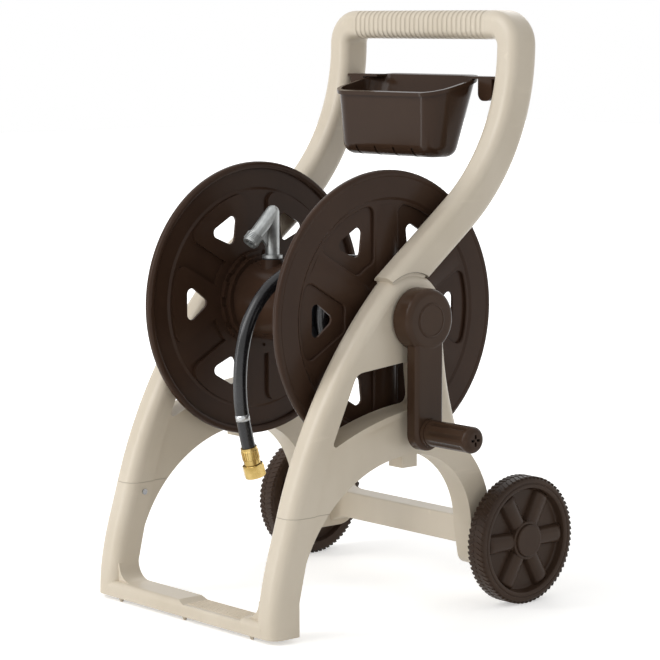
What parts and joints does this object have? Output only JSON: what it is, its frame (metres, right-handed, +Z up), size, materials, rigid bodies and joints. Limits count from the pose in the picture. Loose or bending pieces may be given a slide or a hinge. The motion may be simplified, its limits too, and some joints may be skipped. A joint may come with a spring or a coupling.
{
  "type": "garden hose reel cart",
  "caption": "Wheeled garden hose reel cart with a beige frame and U handle, a dark spoked drum with a side crank, a basket on the handle, a metal outlet and a short black leader hose.",
  "frame": {"origin": "on the ground, in the middle of the cart's width and depth without its hose", "axes": "+X towards the crank side, +Y to the back where the handle and wheels are, +Z up"},
  "size_m": [0.622, 0.574, 0.9158],
  "materials": {
    "beige_plastic": "satin, warm beige, lightly grained moulded plastic",
    "brown_plastic": "satin dark brown moulded plastic",
    "brown_grip": "dark brown plastic with a soft sheen",
    "wheel_plastic": "dark brown moulded plastic, dull on the tread",
    "bearing_plastic": "off-white bearing plastic",
    "cast_metal": "die-cast, light grey, slightly rough",
    "tube_plastic": "dark grey tube",
    "seal_rubber": "black sealing rubber",
    "hose_rubber": "smooth black hose with a soft sheen",
    "brass": "machined yellow brass",
    "steel": "zinc-plated steel"
  },
  "bodies": {
    "frame": {"side_frame_left": "beige_plastic", "side_frame_right": "beige_plastic", "front_foot": "beige_plastic", "handle": "beige_plastic", "rear_brace": "beige_plastic", "axle": "steel", "axle_spacers": "bearing_plastic", "push_nuts": "steel", "hub_bush_left": "bearing_plastic", "hub_bush_right": "bearing_plastic", "thrust_washers": "bearing_plastic", "basket_pegs": "brown_plastic", "handle_screws": "steel", "foot_screws": "steel", "leader_hose_winding": "hose_rubber", "leader_hose_tail": "hose_rubber", "hose_ferrule": "brass", "coupling_washer": "seal_rubber", "hose_end_fitting": "brass"},
    "reel": {"reel_flange_left": "brown_plastic", "reel_flange_right": "brown_plastic", "reel_drum": "brown_plastic", "drum_collar_left": "brown_plastic", "drum_collar_right": "brown_plastic", "trunnion_clip": "bearing_plastic", "outlet_gasket": "seal_rubber", "outlet_gooseneck": "cast_metal", "water_tube": "tube_plastic", "crank_arm": "brown_plastic", "crank_cap": "brown_plastic", "crank_bolt": "steel", "grip_pin": "steel", "grip_retainer": "steel"},
    "grip": {"crank_grip": "brown_grip"},
    "wheel_left": {"wheel_left": "wheel_plastic", "wheel_cap_left": "wheel_plastic"},
    "wheel_right": {"wheel_right": "wheel_plastic", "wheel_cap_right": "wheel_plastic"},
    "basket": {"basket": "brown_plastic"},
    "coupling": {"coupling_nut": "brass"},
    "inlet": {"inlet_swivel": "cast_metal", "swivel_seals": "seal_rubber"}
  },
  "joints": [
    {"name": "reel_spin", "type": "hinge", "parent": "frame", "child": "reel", "pos_m": [-0.04, -0.011, 0.458], "axis": [1, 0, 0], "continuous": true},
    {"name": "grip_spin", "type": "hinge", "parent": "reel", "child": "grip", "pos_m": [0.26, -0.011, 0.289], "axis": [1, 0, 0], "continuous": true},
    {"name": "wheel_left_spin", "type": "hinge", "parent": "frame", "child": "wheel_left", "pos_m": [-0.29, 0.187, 0.1], "axis": [1, 0, 0], "continuous": true},
    {"name": "wheel_right_spin", "type": "hinge", "parent": "frame", "child": "wheel_right", "pos_m": [0.21, 0.187, 0.1], "axis": [1, 0, 0], "continuous": true},
    {"name": "basket_lift", "type": "slide", "parent": "frame", "child": "basket", "axis": [0, 0, 1], "range_m": [0, 0.045]},
    {"name": "coupling_nut_spin", "type": "hinge", "parent": "frame", "child": "coupling", "pos_m": [0.004, -0.1825, 0.237], "axis": [0.0447, 0.2458, -0.9683], "continuous": true},
    {"name": "inlet_swivel_spin", "type": "hinge", "parent": "frame", "child": "inlet", "pos_m": [-0.276, -0.011, 0.458], "axis": [1, 0, 0], "continuous": true}
  ]
}
